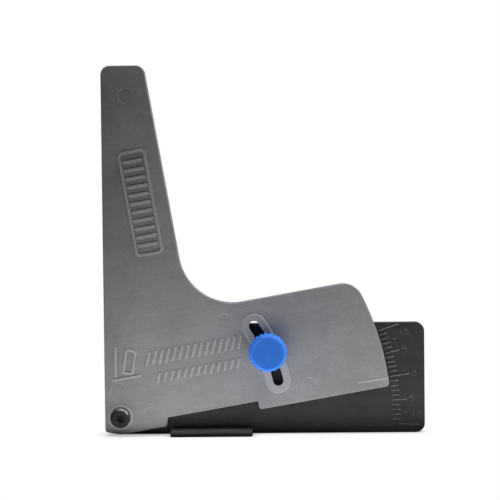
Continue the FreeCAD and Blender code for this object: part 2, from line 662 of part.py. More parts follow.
def make_clamp_stud():
    """Threaded stud whose hexagonal head is moulded into the knob."""
    head_back = WASHER_FRONT - KNOB_HUB_HEIGHT
    shank = cylinder(STUD_DIAMETER / 2, head_back - 1, STUD_TIP)
    shank = shank.makeChamfer(STUD_POINT, edges_on_plane(shank, STUD_TIP))
    stud = shank.fuse(hexagon(STUD_HEAD_FLATS, head_back - STUD_HEAD_THICK, head_back))
    return moved(stud, CLAMP.x, CLAMP.z)


def make_clamp_washer():
    return tube(WASHER_OUTER / 2, WASHER_INNER / 2, WASHER_FRONT, WASHER_BACK, CLAMP)


def make_clamp_nut():
    back = CLAMP_POCKET_FLOOR + CLAMP_NUT_THICK
    nut = nut_blank(CLAMP_NUT_FLATS, CLAMP_POCKET_FLOOR, back, CLAMP)
    return nut.cut(cylinder(STUD_DIAMETER / 2 + THREAD_FIT, 0, back + 1, CLAMP))


# ---- export -------------------------------------------------------------------------------------------------

os.makedirs("parts", exist_ok=True)
save(make_scale_plate(), "scale_plate")
save(make_gauge_arm(), "gauge_arm")
save(make_pivot_screw(), "pivot_screw")
save(make_pivot_locknut(), "pivot_locknut")
save(make_locknut_ring(), "locknut_ring")
save(make_clamp_knob(), "clamp_knob")
save(make_clamp_stud(), "clamp_stud")
save(make_clamp_washer(), "clamp_washer")
save(make_clamp_nut(), "clamp_nut")
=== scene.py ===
"""Looks of the camber gauge: detailed hardware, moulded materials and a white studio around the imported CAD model.

Everything is in metres in the gauge's own frame: X along the scale plate, Y from the user to the back, Z up.
"""

import json
import math

import bmesh
import bpy
from mathutils import Matrix, Vector


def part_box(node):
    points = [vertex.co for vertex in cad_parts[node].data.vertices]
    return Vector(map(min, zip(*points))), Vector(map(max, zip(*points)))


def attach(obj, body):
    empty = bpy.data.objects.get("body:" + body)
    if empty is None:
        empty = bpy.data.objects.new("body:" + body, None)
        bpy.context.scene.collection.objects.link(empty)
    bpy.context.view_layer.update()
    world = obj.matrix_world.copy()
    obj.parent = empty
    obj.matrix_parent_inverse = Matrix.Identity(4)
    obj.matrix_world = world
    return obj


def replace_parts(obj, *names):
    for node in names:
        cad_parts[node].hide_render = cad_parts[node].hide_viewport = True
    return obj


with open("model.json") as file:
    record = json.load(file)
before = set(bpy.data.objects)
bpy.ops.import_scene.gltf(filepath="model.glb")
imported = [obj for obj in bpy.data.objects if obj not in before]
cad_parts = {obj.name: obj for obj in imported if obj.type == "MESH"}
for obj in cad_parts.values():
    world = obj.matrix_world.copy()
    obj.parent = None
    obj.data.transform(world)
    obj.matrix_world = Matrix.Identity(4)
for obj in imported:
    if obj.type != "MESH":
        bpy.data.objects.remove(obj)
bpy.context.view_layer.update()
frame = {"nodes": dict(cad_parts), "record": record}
NODES = frame["nodes"]
MM = 0.001

# ---- sizes repeated from the CAD design, in metres ----------------------------------------------------------

PAD_RAISE = 0.4 * MM             # the slot pad is the arm's foremost plane
RELIEF_RAISE = 0.35 * MM
TICK_RAISE = 0.22 * MM
FIGURE_RAISE = 0.15 * MM
PLATE_FRONT = 0.4 * MM
SCALE_WIDTH = 18 * MM            # the marks lie this near the plate's right edge
EDGE_SLOPE = math.radians(9.85)  # slope of the arm's limb
SCREW_SHANK = 4.0 * MM
SCREW_PITCH = 0.7 * MM
SCREW_POINT = 0.4 * MM
SCREW_RECESS = 2.6 * MM
SCREW_RECESS_DEPTH = 1.4 * MM
SCREW_LEAD_IN = 4.0 * MM
SCREW_HEAD_HEIGHT = 2.2 * MM
SCREW_HEAD_RIM = 0.35 * MM       # the head's short upright edge, below its dome
SCREW_PLAIN_SHANK = 4.0 * MM     # no thread this far under the head
TURNING_DEPTH = 0.035 * MM       # fine turning rings on the screw's dome
STUD_SHANK = 3.5 * MM
STUD_PITCH = 0.794 * MM
STUD_POINT = 0.5 * MM
STUD_HEAD_FLATS = 6.0 * MM
STUD_HEAD_THICK = 2.0 * MM
STUD_HEAD_CHAMFER = 0.3 * MM
STUD_PLAIN_SHANK = 1.6 * MM      # no thread this far behind the stud's head
STUD_BORE_FIT = 0.02 * MM        # gap between the stud and the knob
WASHER_BORE = 3.7 * MM
WASHER_GAP = 0.03 * MM           # just clear of the knob's hub, which turns against it
KNOB_FLUTES = 24
KNOB_FLUTE_DEPTH = 0.36 * MM
KNOB_HUB_RADIUS = 4.6 * MM
KNOB_HUB_HEIGHT = 1.3 * MM
KNOB_DISH_RADIUS = 5.7 * MM
KNOB_DISH_DEPTH = 0.15 * MM
KNOB_MARK_LENGTH = 8.6 * MM
KNOB_MARK_GAP = 2.9 * MM
KNOB_MARK_TURN = math.radians(15.8)
KNOB_MARK_STROKE = 0.25 * MM
KNOB_MARK_RAISE = 0.08 * MM
KNOB_MARK_RIBS = 7
KNOB_MARK_RIB_HEIGHT = 1.3 * MM
PIVOT_NUT_STEEL = 3.2 * MM
NUT_CHAMFER = 0.5 * MM
NUT_LEAD_IN = 0.35 * MM
THREAD_PLAY = 0.05 * MM
COLLAR_RADIUS = 3.2 * MM
COLLAR_WALL = 0.5 * MM
COLLAR_LIP = 0.4 * MM
COLLAR_MOUTH = 2.3 * MM
AXIS_RADIUS = 0.02 * MM          # rings that close on the axis stop at this radius


def axis_of(node):
    """The middle of a round node, seen from the front."""
    low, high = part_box(node)
    return Vector(((low.x + high.x) / 2, 0, (low.z + high.z) / 2))


SLOT_OF = {row["node"]: row["material_slot"] for row in frame["record"]["subparts"]}
BODY_OF = {node: body for body, nodes in frame["record"]["behaviour"]["bodies"].items() for node in nodes}
PIVOT = axis_of("pivot_screw")
CLAMP = axis_of("clamp_washer")

# ---- camera: metres and degrees -----------------------------------------------------------------------------

CAMERA_PLACE = Vector((0.00652, -0.4996, 0.08222))
CAMERA_PITCH = math.radians(1.4767)     # looking down
CAMERA_YAW = math.radians(-1.322)       # turned a little to the left
CAMERA_ROLL = math.radians(-0.645)
CAMERA_LENS = 95.68                     # millimetres on a 36 mm sensor


def make_camera():
    forward = Vector((math.sin(CAMERA_YAW) * math.cos(CAMERA_PITCH), math.cos(CAMERA_YAW) * math.cos(CAMERA_PITCH),
                      -math.sin(CAMERA_PITCH)))
    level = Vector((math.cos(CAMERA_YAW), -math.sin(CAMERA_YAW), 0))
    above = level.cross(forward)
    right = level * math.cos(CAMERA_ROLL) + above * math.sin(CAMERA_ROLL)
    up = above * math.cos(CAMERA_ROLL) - level * math.sin(CAMERA_ROLL)
    data = bpy.data.cameras.new("camera")
    data.lens = CAMERA_LENS
    data.sensor_width = 36
    data.clip_start = 0.01
    camera = bpy.data.objects.new("camera", data)
    turn = Matrix((right, up, -forward)).transposed().to_4x4()
    camera.matrix_world = Matrix.Translation(CAMERA_PLACE) @ turn
    bpy.context.scene.collection.objects.link(camera)
    bpy.context.scene.camera = camera


# ---- shader helpers -----------------------------------------------------------------------------------------

NOISE_LOW = 0.3                      # nearly all of a noise texture's values lie between these
NOISE_HIGH = 0.7
HAIRLINE_STRETCH = (0.16, 9.0, 9.0)  # long and thin
HAIRLINE_CUT = 0.70                  # only the noise's highest ridges are hairlines


class Shader:
    """One material's node tree, with short calls for the nodes used here. Lengths in them are millimetres."""

    def __init__(self, name):
        self.material = bpy.data.materials.new(name)
        self.material.use_nodes = True
        self.tree = self.material.node_tree
        self.surface = self.tree.nodes["Principled BSDF"]
        self.place = self.node("ShaderNodeTexCoord").outputs["Object"]

    def node(self, kind, values=None, **settings):
        made = self.tree.nodes.new(kind)
        for name, value in settings.items():
            setattr(made, name, value)
        for name, value in (values or {}).items():
            self.give(made.inputs[name], value)
        return made

    def give(self, socket, value):
        if isinstance(value, bpy.types.NodeSocket):
            self.tree.links.new(value, socket)
        else:
            socket.default_value = value

    def set(self, **values):
        for name, value in values.items():
            self.give(self.surface.inputs[name.replace("_", " ")], value)

    def millimetres(self, scale=(1, 1, 1), turn=0.0, shift=(0, 0, 0)):
        """Object coordinates in millimetres, turned about Y and then stretched."""
        turned = self.node("ShaderNodeMapping", {"Vector": self.place, "Rotation": (0, turn, 0),
                                                 "Scale": (1 / MM, 1 / MM, 1 / MM)})
        return self.node("ShaderNodeMapping", {"Vector": turned.outputs[0], "Scale": scale,
                                               "Location": shift}).outputs[0]

    def noise(self, scale, detail=2.0, roughness=0.5, distortion=0.0, vector=None):
        made = self.node("ShaderNodeTexNoise", {"Vector": vector or self.millimetres(), "Scale": scale,
                                                "Detail": detail, "Roughness": roughness, "Distortion": distortion})
        return made.outputs["Fac"]

    def spread(self, value, low, high, to_low=0.0, to_high=1.0):
        """The value's range from low to high, spread over another range and clamped to it."""
        made = self.node("ShaderNodeMapRange", {"Value": value, "From Min": low, "From Max": high,
                                                "To Min": to_low, "To Max": to_high})
        return made.outputs["Result"]

    def around(self, middle, noise, swing):
        """A noise turned into values round a middle, up to a swing either side."""
        return self.spread(noise, NOISE_LOW, NOISE_HIGH, middle - swing, middle + swing)

    def maths(self, operation, first, second=0.0, clamp=False):
        made = self.node("ShaderNodeMath", operation=operation, use_clamp=clamp)
        self.give(made.inputs[0], first)
        self.give(made.inputs[1], second)
        return made.outputs[0]

    def product(self, *values):
        result = values[0]
        for value in values[1:]:
            result = self.maths("MULTIPLY", result, value)
        return result

    def total(self, *values):
        result = values[0]
        for value in values[1:]:
            result = self.maths("ADD", result, value)
        return result

    def mix(self, factor, first, second):
        made = self.node("ShaderNodeMix", data_type="RGBA")
        self.give(made.inputs[0], factor)
        self.give(made.inputs[6], first)
        self.give(made.inputs[7], second)
        return made.outputs[2]

    def scaled(self, colour, share):
        made = self.node("ShaderNodeVectorMath", operation="SCALE")
        self.give(made.inputs[0], colour)
        self.give(made.inputs["Scale"], share)
        return made.outputs["Vector"]

    def part(self, axis):
        """One object coordinate, in metres."""
        return self.node("ShaderNodeSeparateXYZ", {"Vector": self.place}).outputs[axis]

    def distance_from(self, axis):
        """Distance from an axis that runs from the user to the back, in metres."""
        away = self.node("ShaderNodeVectorMath", {0: self.place, 1: axis}, operation="SUBTRACT").outputs["Vector"]
        flat = self.node("ShaderNodeVectorMath", {0: away, 1: (1, 0, 1)}, operation="MULTIPLY").outputs["Vector"]
        return self.node("ShaderNodeVectorMath", {0: flat}, operation="LENGTH").outputs["Value"]

    def soft_normal(self, radius):
        """The surface's normal, rounded over its edges."""
        return self.node("ShaderNodeBevel", {"Radius": radius}, samples=4).outputs[0]

    def edges(self, radius, low, high):
        """1 along the edges of the piece, where the rounded normal leaves the face's own."""
        face = self.node("ShaderNodeNewGeometry").outputs["Normal"]
        match = self.node("ShaderNodeVectorMath", operation="DOT_PRODUCT")
        self.give(match.inputs[0], face)
        self.give(match.inputs[1], self.soft_normal(radius))
        return self.spread(self.maths("SUBTRACT", 1.0, match.outputs["Value"]), low, high)

    def painted_crevice_shade(self, distance, darkest):
        """Painted shade: darker in corners and hollows, where less light reaches."""
        shade = self.node("ShaderNodeAmbientOcclusion", {"Distance": distance}, samples=4).outputs["AO"]
        return self.spread(shade, 0.2, 0.9, darkest, 1.0)

    def specks(self, cell, radius, share, seed):
        """Small round dots: one in a share of the cells, each with its own size."""
        where = self.millimetres(shift=(seed, seed * 0.37, seed * 0.71))
        cells = self.node("ShaderNodeTexVoronoi", {"Vector": where, "Scale": 1 / cell, "Randomness": 1.0})
        chance = self.node("ShaderNodeSeparateColor", {"Color": cells.outputs["Color"]})
        reach = self.product(chance.outputs[1], radius / cell)
        dot = self.maths("LESS_THAN", cells.outputs["Distance"], reach)
        return self.product(dot, self.maths("LESS_THAN", chance.outputs[0], share))

    def scratches(self, turn, seed):
        """Fine straight hairlines in one direction."""
        where = self.millimetres(HAIRLINE_STRETCH, turn, (seed, 0, seed))
        return self.spread(self.noise(1.0, 1.0, 0.4, 0.0, where), HAIRLINE_CUT, HAIRLINE_CUT + 0.04)

    def bump(self, height, distance, normal=None):
        values = {"Height": height, "Distance": distance}
        if normal is not None:
            values["Normal"] = normal
        return self.node("ShaderNodeBump", values).outputs[0]


# ---- materials ----------------------------------------------------------------------------------------------

SHADED_SIDE_WIDTH = 17 * MM               # painted shade: the arm is darker this far from its left edge, the side less light falls on


def moulding_marks(shader, slope):
    """What every moulded face shows: cloudy mottling, flow streaks from the gate, fine grain."""
    mottle = shader.noise(0.075, 3.0, 0.55, 0.4)
    flow = shader.noise(1.0, 4.0, 0.6, 0.9, shader.millimetres((0.035, 0.3, 0.22), slope))
    fine_flow = shader.noise(1.0, 3.0, 0.6, 0.5, shader.millimetres((0.15, 1.2, 1.1), slope))
    grain = shader.noise(1.7, 3.0, 0.7)
    return mottle, flow, fine_flow, grain


def grey_moulding():
    """Grey glass-filled nylon of the arm."""
    shader = Shader("grey_moulding")
    mottle, flow, fine_flow, grain = moulding_marks(shader, EDGE_SLOPE)
    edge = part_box("gauge_arm")[0].x      # painted shade: darker along this edge, away from the light
    painted_side_shade = shader.spread(shader.part("X"), edge, edge + SHADED_SIDE_WIDTH, 0.86, 1.05)
    # painted shade: the tone is darkened in corners and towards the left edge
    tone = shader.product(shader.around(1.0, mottle, 0.08), shader.around(1.0, flow, 0.03),
                          shader.around(1.0, fine_flow, 0.03), shader.around(1.0, grain, 0.12),
                          shader.painted_crevice_shade(0.9 * MM, 0.88), painted_side_shade)
    # edges painted lighter: partly rubbed wear, partly painted highlight where rounded edges catch the light
    wear_and_edge_highlight = shader.product(shader.edges(0.35 * MM, 0.01, 0.15), shader.spread(grain, 0.3, 0.6, 0.5, 1.0))
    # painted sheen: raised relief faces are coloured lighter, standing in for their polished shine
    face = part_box("gauge_arm")[0].y + PAD_RAISE
    raised = shader.spread(shader.part("Y"), face - 0.1 * MM, face - RELIEF_RAISE * 0.8)
    hairlines = shader.total(shader.scratches(0.5, 3.0), shader.scratches(-0.9, 11.0), shader.scratches(1.3, 23.0))
    dust = shader.specks(3.4, 0.32, 0.35, 5.0)
    colour = shader.scaled((0.250, 0.250, 0.256), tone)
    colour = shader.mix(shader.product(raised, 0.4), colour, (0.44, 0.44, 0.455, 1))
    colour = shader.mix(shader.product(wear_and_edge_highlight, 0.66), colour, (0.74, 0.74, 0.76, 1))
    colour = shader.mix(shader.maths("MULTIPLY", hairlines, 0.12, True), colour, (0.5, 0.5, 0.52, 1))
    colour = shader.mix(shader.product(dust, 0.35), colour, (0.6, 0.6, 0.62, 1))
    rough = shader.total(0.44, shader.around(0.0, mottle, 0.04), shader.around(0.0, grain, 0.04),
                         shader.product(hairlines, -0.08), shader.product(wear_and_edge_highlight, -0.24))
    normal = shader.bump(shader.noise(0.9, 2.0, 0.5), 0.012 * MM, shader.soft_normal(0.2 * MM))
    normal = shader.bump(grain, 0.006 * MM, normal)
    normal = shader.bump(hairlines, -0.004 * MM, normal)
    shader.set(Base_Color=colour, Roughness=rough, Normal=normal, IOR=1.5)
    return shader.material


def black_moulding():
    """Black glass-filled nylon of the scale plate; the raised marks are painted paler as a highlight."""
    shader = Shader("black_moulding")
    mottle, flow, fine_flow, grain = moulding_marks(shader, 0.0)
    # painted shade in corners is part of the tone
    tone = shader.product(shader.around(1.0, mottle, 0.15), shader.around(1.0, flow, 0.1),
                          shader.around(1.0, fine_flow, 0.05), shader.around(1.0, grain, 0.12),
                          shader.painted_crevice_shade(0.9 * MM, 0.85))
    # edges painted lighter: partly rubbed wear, partly painted highlight where rounded edges catch the light
    wear_and_edge_highlight = shader.product(shader.edges(0.45 * MM, 0.01, 0.2), shader.spread(grain, 0.35, 0.6, 0.3, 1.0))
    hairlines = shader.total(shader.scratches(0.3, 7.0), shader.scratches(-1.1, 17.0))
    dust = shader.specks(2.6, 0.3, 0.3, 9.0)
    colour = shader.scaled((0.037, 0.0355, 0.038), tone)
    colour = shader.mix(shader.product(wear_and_edge_highlight, 0.22), colour, (0.16, 0.16, 0.165, 1))
    # painted highlight on the raised scale marks
    colour = shader.mix(shader.product(painted_mark_highlight(shader), 0.8), colour, (0.30, 0.30, 0.31, 1))
    colour = shader.mix(shader.maths("MULTIPLY", hairlines, 0.1, True), colour, (0.2, 0.2, 0.21, 1))
    colour = shader.mix(shader.product(dust, 0.4), colour, (0.3, 0.3, 0.3, 1))
    rough = shader.total(0.42, shader.around(0.0, mottle, 0.05), shader.around(0.0, grain, 0.04),
                         shader.product(hairlines, -0.08), shader.product(wear_and_edge_highlight, -0.22))
    normal = shader.bump(shader.noise(0.9, 2.0, 0.5), 0.010 * MM, shader.soft_normal(0.2 * MM))
    normal = shader.bump(grain, 0.006 * MM, normal)
    shader.set(Base_Color=colour, Roughness=rough, Normal=normal, IOR=1.5, Specular_IOR_Level=0.38)
    return shader.material


def painted_mark_highlight(shader):
    """Painted highlight on the scale's raised marks, where light catches them: stronger on the proud ticks than on
    the figures, and on the upper marks than the lower.
    """
    low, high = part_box("scale_plate")
    on_scale = shader.maths("GREATER_THAN", shader.part("X"), high.x - SCALE_WIDTH)
    proud = shader.spread(shader.part("Y"), PLATE_FRONT - FIGURE_RAISE * 0.9, PLATE_FRONT - TICK_RAISE * 0.95, 0.16)
    off_face = shader.maths("LESS_THAN", shader.part("Y"), PLATE_FRONT - FIGURE_RAISE * 0.5)
    reach = shader.spread(shader.part("Z"), low.z, high.z * 0.6, 0.35)
    uneven = shader.spread(shader.noise(0.9, 2.0, 0.6), 0.35, 0.6, 0.35)
    return shader.product(on_scale, off_face, proud, reach, uneven)


def blue_moulding():
    """Blue semi-gloss nylon of the knob; its edges are painted paler, partly as finger wear and partly as
    highlight, and its bevel ring is painted lighter than the dished face as a sheen.
    """
    shader = Shader("blue_moulding")
    cloud = shader.noise(0.35, 3.0, 0.55, 0.3)
    grain = shader.noise(3.2, 2.0, 0.6)
    # painted sheen: the bevel ring round the dished face is coloured lighter, as where light catches its slope
    rim = shader.spread(shader.distance_from(CLAMP), KNOB_DISH_RADIUS * 0.85, KNOB_DISH_RADIUS * 1.15, 0.96, 1.2)
    # painted shade in corners is part of the tone
    tone = shader.product(shader.around(1.0, cloud, 0.06), shader.around(1.0, grain, 0.03),
                          shader.painted_crevice_shade(0.7 * MM, 0.75), rim)
    # edges painted lighter: partly finger wear, partly painted highlight
    wear_and_edge_highlight = shader.product(shader.edges(0.3 * MM, 0.02, 0.35), shader.spread(grain, 0.3, 0.6, 0.3, 1.0))
    dust = shader.specks(1.8, 0.2, 0.25, 2.0)
    colour = shader.scaled((0.031, 0.178, 0.69), tone)
    colour = shader.mix(shader.product(wear_and_edge_highlight, 0.3), colour, (0.18, 0.42, 0.98, 1))
    colour = shader.mix(shader.product(dust, 0.35), colour, (0.5, 0.65, 0.9, 1))
    rough = shader.total(0.50, shader.around(0.0, cloud, 0.04), shader.around(0.0, grain, 0.03))
    normal = shader.bump(shader.noise(1.4, 2.0, 0.5), 0.010 * MM)
    normal = shader.bump(grain, 0.004 * MM, normal)
    shader.set(Base_Color=colour, Roughness=rough, Normal=normal, IOR=1.5, Specular_IOR_Level=0.3)
    return shader.material


def steel(name, colour, worn, roughness, patch, wear_share):
    """Fastener steel: a finish with cloudy patches and turning marks, painted shade in its hollows, and edges
    painted bright, partly as rubbed wear and partly as highlight.
    """
    shader = Shader(name)
    cloud = shader.noise(0.8, 4.0, 0.6, 0.5)
    grain = shader.noise(5.0, 3.0, 0.7)
    turning = shader.noise(1.0, 2.0, 0.5, 0.0, shader.millimetres((0.6, 14.0, 0.6)))
    # painted shade in hollows is part of the tone
    tone = shader.product(shader.around(1.0, cloud, patch), shader.around(1.0, grain, 0.06),
                          shader.painted_crevice_shade(1.2 * MM, 0.25))
    # edges painted bright: partly rubbed-through finish, partly painted highlight
    wear_and_edge_highlight = shader.product(shader.edges(0.22 * MM, 0.02, 0.3), shader.spread(grain, 0.35, 0.6, 0.2, 1.0))
    base = shader.mix(shader.product(wear_and_edge_highlight, wear_share), shader.scaled(colour, tone), (*worn, 1))
    rough = shader.total(roughness, shader.around(0.0, cloud, 0.06), shader.around(0.0, grain, 0.05))
    normal = shader.bump(turning, 0.004 * MM)
    normal = shader.bump(grain, 0.003 * MM, normal)
    shader.set(Base_Color=base, Roughness=rough, Normal=normal, Metallic=1.0)
    return shader.material


def natural_nylon():
    """Milky nylon of the locknut's ring."""
    shader = Shader("natural_nylon")
    cloud = shader.noise(1.2, 3.0, 0.5)
    colour = shader.mix(shader.spread(cloud, 0.3, 0.7), (0.60, 0.58, 0.50, 1), (0.74, 0.73, 0.67, 1))
    rough = shader.spread(cloud, 0.3, 0.7, 0.3, 0.45)
    shader.set(Base_Color=colour, Roughness=rough, Normal=shader.bump(cloud, 0.02 * MM), Subsurface_Weight=0.3,
               Subsurface_Radius=(1, 0.9, 0.8), Subsurface_Scale=0.5 * MM, IOR=1.53)
    return shader.material


MATERIALS = {
    "grey_moulding": grey_moulding(),
    "black_moulding": black_moulding(),
    "blue_moulding": blue_moulding(),
    "black_steel": steel("black_steel", colour=(0.175, 0.176, 0.168), worn=(0.42, 0.42, 0.41), roughness=0.46,
                         patch=0.18, wear_share=0.45),
    "plated_steel": steel("plated_steel", colour=(0.56, 0.57, 0.60), worn=(0.72, 0.72, 0.72), roughness=0.30,
                          patch=0.10, wear_share=0.4),
    "natural_nylon": natural_nylon(),
}

# ---- turned hardware: one closed surface of rings about an axis that runs from the user to the back ---------

RING_POINTS = 192
DOME_STEPS = 13
CORNER_STEPS = 5                 # points in each rounded corner of a profile
CHAMFER_STEPS = 6
MARK_POINTS = 24                 # points round each stroke of the knob's mark
THREAD_STEPS = 8                 # rings in each turn of a thread
THREAD_SHARE = 0.6134            # depth of a metric thread, as a share of its pitch


def round_ring(radius):
    return lambda angle: radius


def round_rings(profile):
    """Round rings through the (y, radius, rounding) corners of a profile."""
    return [(point.x, round_ring(point.y)) for point in rounded(profile)]


def hexagon_ring(flats, corner_radius):
    """A hexagon whose corners are turned down to a radius, as by its chamfer."""
    def radius(angle):
        off_flat = angle % (math.pi / 3) - math.pi / 6
        return min(flats / 2 / math.cos(off_flat), corner_radius)
    return radius


def lobed_ring(width):
    """Six-lobed driver recess: a round core with six lobes."""
    middle = width * 0.43
    return lambda angle: middle + width * 0.07 * math.cos(6 * angle)


def thread_rings(start, end, radius, pitch, point=0.0):
    """Rings of a right-hand thread, which runs out at its start. It ends in a chamfered point, or runs out too."""
    count = max(2, round((end - start) / pitch * THREAD_STEPS))
    rings = []
    for i in range(count + 1):
        depth_at = start + (end - start) * i / count
        fade = min(1.0, (depth_at - start) / pitch, 1.0 if point else (end - depth_at) / pitch)
        deepest = THREAD_SHARE * pitch * max(0.0, fade)
        widest = radius - max(0.0, depth_at - (end - point))

        def ring(angle, depth_at=depth_at, deepest=deepest, widest=widest):
            phase = (depth_at / pitch + angle / (2 * math.pi)) % 1.0
            flank = abs(2 * phase - 1)
            return min(widest, radius - deepest * min(1.0, max(0.0, 1.25 * flank - 0.12)))
        rings.append((depth_at, ring))
    return rings


def turned_piece(name, node, axis, rings, hollow=False, sharp=32):
    """A closed mesh through the rings, each (y, radius as a function of the angle). It stands for the CAD node."""
    vertices = []
    for y, radius in rings:
        for i in range(RING_POINTS):
            angle = 2 * math.pi * i / RING_POINTS
            reach = radius(angle)
            vertices.append((axis.x + reach * math.cos(angle), y, axis.z + reach * math.sin(angle)))
    faces = []
    loops = len(rings) if hollow else len(rings) - 1
    for ring in range(loops):
        here = ring * RING_POINTS
        after = (ring + 1) % len(rings) * RING_POINTS
        for i in range(RING_POINTS):
            j = (i + 1) % RING_POINTS
            faces.append((here + i, here + j, after + j, after + i))
    if not hollow:
        last = (len(rings) - 1) * RING_POINTS
        faces.append(tuple(reversed(range(RING_POINTS))))
        faces.append(tuple(range(last, last + RING_POINTS)))
    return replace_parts(own_mesh(name, node, vertices, faces, sharp), node)


def own_mesh(name, node, vertices, faces, sharp):
    """A mesh that rides with a node's body and has its material."""
    mesh = bpy.data.meshes.new(name)
    mesh.from_pydata(vertices, [], faces)
    mesh.validate()
    face_outwards(mesh)
    mesh.shade_smooth()
    mesh.set_sharp_from_angle(angle=math.radians(sharp))
    mesh.materials.append(MATERIALS[SLOT_OF[node]])
    piece = bpy.data.objects.new(name, mesh)
    bpy.context.scene.collection.objects.link(piece)
    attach(piece, BODY_OF[node])
    return piece


def face_outwards(mesh):
    """Turn all faces outwards."""
    work = bmesh.new()
    work.from_mesh(mesh)
    bmesh.ops.recalc_face_normals(work, faces=work.faces)
    if work.calc_volume(signed=True) < 0:
        bmesh.ops.reverse_faces(work, faces=work.faces)
    work.to_mesh(mesh)
    work.free()


def rounded(points):
    """(y, radius, rounding) corners of a profile turned into (y, radius) points, with each corner rounded."""
    result = []
    for i, (y, radius, rounding) in enumerate(points):
        corner = Vector((y, radius))
        if rounding == 0 or i in (0, len(points) - 1):
            result.append(corner)
            continue
        back = (Vector(points[i - 1][:2]) - corner).normalized()
        ahead = (Vector(points[i + 1][:2]) - corner).normalized()
        start = corner + back * rounding
        end = corner + ahead * rounding
        for step in range(CORNER_STEPS + 1):
            t = step / CORNER_STEPS
            result.append(start * (1 - t) ** 2 + corner * 2 * t * (1 - t) + end * t ** 2)
    return result


def make_pivot_screw():
    """Button head with a flat middle, lead-in cone, six-lobed recess and a threaded shank."""
    low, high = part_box("pivot_screw")
    front, back = low.y, high.y
    head = (high.x - low.x) / 2
    seat = front + SCREW_HEAD_HEIGHT
    shank = SCREW_SHANK / 2
    floor = front + SCREW_RECESS_DEPTH
    lobes = lobed_ring(SCREW_RECESS)
    rings = [(floor, round_ring(AXIS_RADIUS)), (floor, lobed_ring(SCREW_RECESS * 0.9))]
    rings += [(floor - 0.08 * MM, lobes), (front + 0.42 * MM, lobes)]
    lead = SCREW_LEAD_IN / 2
    dome = [(front + 0.30 * MM, lead * 0.80, 0.05 * MM), (front + 0.05 * MM, lead * 0.98, 0.06 * MM),
            (front, lead * 1.02 + 0.12 * MM, 0.08 * MM), (front, head * 0.62, 0.25 * MM)]
    for step in range(1, DOME_STEPS):
        turn = math.radians(90 * step / DOME_STEPS)
        reach = head * (0.62 + 0.38 * math.sin(turn) ** 0.9)
        drop = (seat - front - SCREW_HEAD_RIM) * (1 - math.cos(turn)) ** 0.85
        dome.append((front + drop + TURNING_DEPTH * (step % 2), reach, 0))
    dome += [(seat - SCREW_HEAD_RIM, head, 0.12 * MM), (seat - 0.02 * MM, head - 0.04 * MM, 0.05 * MM),
             (seat, head - 0.18 * MM, 0), (seat, shank + 0.1 * MM, 0), (seat + 0.1 * MM, shank, 0)]
    rings += round_rings(dome)
    rings += thread_rings(seat + SCREW_PLAIN_SHANK, back, shank, SCREW_PITCH, SCREW_POINT)
    rings.append((back, round_ring(AXIS_RADIUS)))
    turned_piece("pivot_screw_detailed", "pivot_screw", PIVOT, rings)


def make_clamp_stud():
    """Threaded stud with a chamfered point and the hexagonal head that sits in the knob."""
    low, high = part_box("clamp_stud")
    front, back = low.y, high.y
    shank = STUD_SHANK / 2
    head_back = front + STUD_HEAD_THICK
    rings = [(front, round_ring(AXIS_RADIUS)), (front, round_ring(STUD_HEAD_FLATS / 2 - 0.15 * MM)),
             (front + 0.02 * MM, hexagon_ring(STUD_HEAD_FLATS, STUD_HEAD_FLATS / 2)),
             (front + STUD_HEAD_CHAMFER, hexagon_ring(STUD_HEAD_FLATS, STUD_HEAD_FLATS)),
             (head_back, hexagon_ring(STUD_HEAD_FLATS, STUD_HEAD_FLATS)), (head_back, round_ring(shank + 0.1 * MM)),
             (head_back + 0.1 * MM, round_ring(shank))]
    rings += thread_rings(head_back + STUD_PLAIN_SHANK, back, shank, STUD_PITCH, STUD_POINT)
    rings.append((back, round_ring(AXIS_RADIUS)))
    turned_piece("clamp_stud_threaded", "clamp_stud", CLAMP, rings)


def make_washer():
    """Stamped washer: rolled edge on the front, slight burr-side edge on the back."""
    low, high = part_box("clamp_washer")
    outer = (high.x - low.x) / 2
    inner = WASHER_BORE / 2
    front = low.y + WASHER_GAP
    corners = [(front, inner + 0.12 * MM), (front, outer - 0.30 * MM), (front + 0.07 * MM, outer - 0.10 * MM),
               (front + 0.22 * MM, outer), (high.y - 0.06 * MM, outer), (high.y, outer - 0.06 * MM),
               (high.y, inner + 0.05 * MM), (high.y - 0.05 * MM, inner), (front + 0.12 * MM, inner)]
    rings = [(y, round_ring(radius)) for y, radius in corners]
    turned_piece("clamp_washer_stamped", "clamp_washer", CLAMP, rings, hollow=True)


def nut_rings(front, back, flats, bore, pitch):
    """A hexagonal nut's outside, chamfered behind, and its threaded bore."""
    widest = flats / math.sqrt(3)
    turned_down = flats / 2 * 0.98
    rim = round_ring(flats / 2 * 0.97)
    mouth = round_ring(bore + NUT_LEAD_IN)
    rings = [(front, mouth), (front, rim), (front, hexagon_ring(flats, widest))]
    for i in range(CHAMFER_STEPS + 1):
        share = 1 - i / CHAMFER_STEPS
        reach = turned_down + (widest - turned_down) * share
        rings.append((back - NUT_CHAMFER * share, hexagon_ring(flats, reach)))
    rings += [(back, rim), (back, mouth)]
    inside = thread_rings(front + 0.3 * MM, back - 0.3 * MM, bore + THREAD_PLAY, pitch)
    return rings + inside[::-1]


def make_clamp_nut():
    """Nut in the plate's rear pocket, flat against its floor and chamfered behind."""
    low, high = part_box("clamp_nut")
    flats = min(high.z - low.z, high.x - low.x)
    rings = nut_rings(low.y, high.y, flats, STUD_SHANK / 2 + 0.05 * MM, STUD_PITCH)
    turned_piece("clamp_nut_threaded", "clamp_nut", CLAMP, rings, hollow=True)


